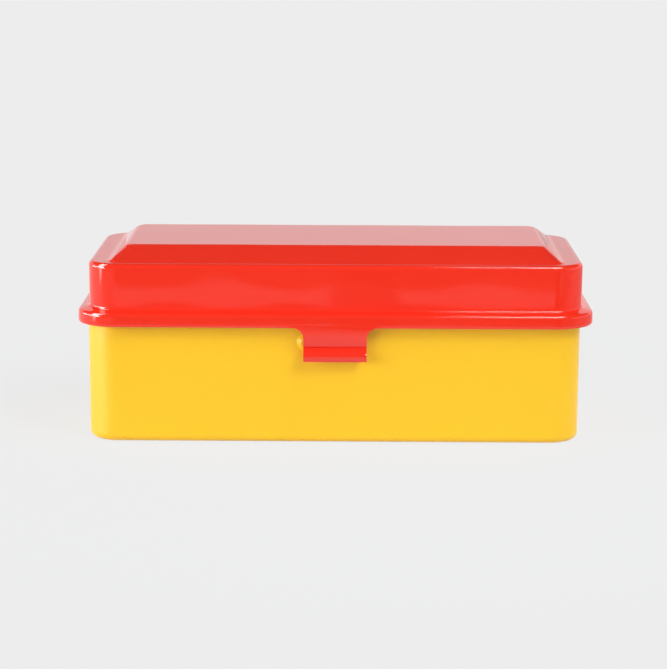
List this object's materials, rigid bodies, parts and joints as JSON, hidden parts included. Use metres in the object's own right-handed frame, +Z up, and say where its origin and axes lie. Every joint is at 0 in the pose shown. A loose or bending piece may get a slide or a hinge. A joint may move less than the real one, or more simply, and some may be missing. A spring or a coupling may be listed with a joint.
{
  "type": "film case",
  "caption": "Low rectangular steel storage tin with a hinged lid, a flange round the lid's foot, a raised deck and a front snap tab.",
  "frame": {"origin": "middle of the body's flat underside, which the case rests on", "axes": "+X to the right of someone facing the front, +Y to the rear where the hinges are, +Z up"},
  "size_m": [0.1712, 0.0779, 0.0646],
  "materials": {
    "yellow_enamel": "satin",
    "red_enamel": "gloss",
    "plated_steel": "bright nickel plate"
  },
  "bodies": {
    "body": {"body_shell": "yellow_enamel", "left_hinge_body_leaf": "plated_steel", "left_hinge_pin": "plated_steel", "left_body_leaf_rivets": "plated_steel", "right_hinge_body_leaf": "plated_steel", "right_hinge_pin": "plated_steel", "right_body_leaf_rivets": "plated_steel"},
    "lid": {"lid_shell": "red_enamel", "left_hinge_lid_leaf": "plated_steel", "left_lid_leaf_rivets": "plated_steel", "right_hinge_lid_leaf": "plated_steel", "right_lid_leaf_rivets": "plated_steel"}
  },
  "joints": [
    {"name": "lid_hinge", "type": "hinge", "parent": "body", "child": "lid", "pos_m": [0, 0.03695, 0.0376], "axis": [-1, 0, 0], "range_deg": [0, 105]}
  ]
}
